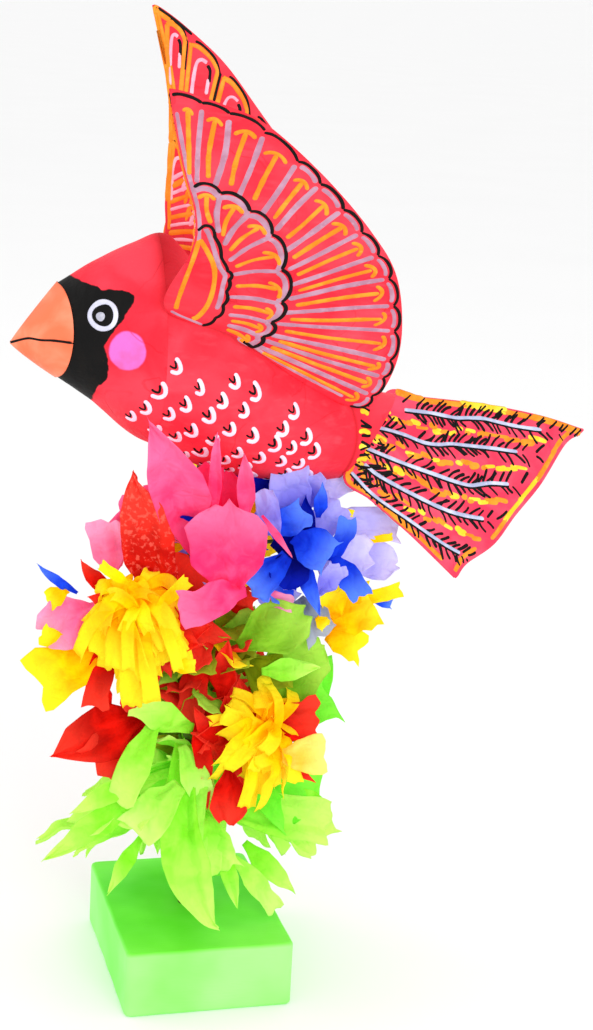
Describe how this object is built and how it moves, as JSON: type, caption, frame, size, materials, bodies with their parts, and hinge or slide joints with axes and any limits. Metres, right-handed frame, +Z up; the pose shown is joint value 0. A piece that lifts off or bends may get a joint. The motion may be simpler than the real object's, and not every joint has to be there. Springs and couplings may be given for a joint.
{
  "type": "folk-art bird figure",
  "caption": "Painted papier-mache bird with raised card wings and a card tail, on a post dressed with tissue-paper flowers over a wood block.",
  "frame": {"origin": "centre of the wood block's underside", "axes": "+Z up along the post; the beak points to -X and the tail to +X; the bird's left wing is on the -Y side"},
  "size_m": [0.3209, 0.1802, 0.5039],
  "materials": {
    "block_paint": "green brush paint, satin, over softwood",
    "post_wood": "dark olive painted dowel",
    "stem_tape": "green paper tape, matte",
    "newspaper_core": "crumpled newsprint and paste",
    "coral_paper": "painted papier-mache, satin, faint wrinkles",
    "beak_paint": "painted papier-mache, satin",
    "painted_card": "hand-painted card, satin",
    "yellow_tissue": "tissue paper, matte, thin",
    "lime_tissue": "tissue paper, matte, thin",
    "green_tissue": "tissue paper, matte, thin",
    "pale_pink_tissue": "tissue paper, matte, thin",
    "pink_tissue": "tissue paper, matte, thin",
    "blue_tissue": "tissue paper, matte, thin",
    "lilac_tissue": "tissue paper, matte, thin",
    "red_tissue": "tissue paper, matte, thin"
  },
  "bodies": {
    "root": {"base_block": "block_paint", "post_dowel": "post_wood", "lower_tape_wrap": "stem_tape", "upper_tape_wrap": "stem_tape", "body_shell": "coral_paper", "head_shell": "coral_paper", "body_core": "newspaper_core", "head_core": "newspaper_core", "beak_upper": "beak_paint", "beak_lower": "beak_paint", "left_wing": "painted_card", "right_wing": "painted_card", "tail_fan": "painted_card", "pink_flower_petals": "pink_tissue", "pink_flower_stem": "stem_tape", "blue_flower_petals": "blue_tissue", "blue_flower_stem": "stem_tape", "red_flower_petals": "red_tissue", "red_flower_stem": "stem_tape", "lilac_flower_petals": "lilac_tissue", "lilac_flower_stem": "stem_tape", "yellow_flower_petals": "yellow_tissue", "yellow_flower_stem": "stem_tape", "fringe_flower_1_fringe": "yellow_tissue", "fringe_flower_1_petals": "red_tissue", "fringe_flower_1_stem": "stem_tape", "pale_pink_flower_petals": "pale_pink_tissue", "pale_pink_flower_stem": "stem_tape", "green_crumple_petals": "green_tissue", "green_crumple_stem": "stem_tape", "left_yellow_flower_petals": "yellow_tissue", "left_yellow_flower_stem": "stem_tape", "low_red_flower_petals": "red_tissue", "low_red_flower_stem": "stem_tape", "fringe_flower_2_fringe": "yellow_tissue", "fringe_flower_2_petals": "red_tissue", "fringe_flower_2_stem": "stem_tape", "back_yellow_flower_petals": "yellow_tissue", "back_yellow_flower_stem": "stem_tape", "back_pink_flower_petals": "pink_tissue", "back_pink_flower_stem": "stem_tape", "fringe_flower_3_fringe": "yellow_tissue", "fringe_flower_3_petals": "red_tissue", "fringe_flower_3_stem": "stem_tape", "back_red_flower_petals": "red_tissue", "back_red_flower_stem": "stem_tape", "low_leaf_1": "lime_tissue", "low_leaf_2": "lime_tissue", "low_leaf_3": "lime_tissue", "low_leaf_4": "lime_tissue", "low_leaf_5": "lime_tissue", "low_leaf_6": "lime_tissue", "low_leaf_7": "lime_tissue", "low_leaf_8": "lime_tissue", "high_leaf_1": "lime_tissue", "high_leaf_2": "lime_tissue", "high_leaf_3": "lime_tissue", "high_leaf_4": "lime_tissue"}
  },
  "joints": []
}
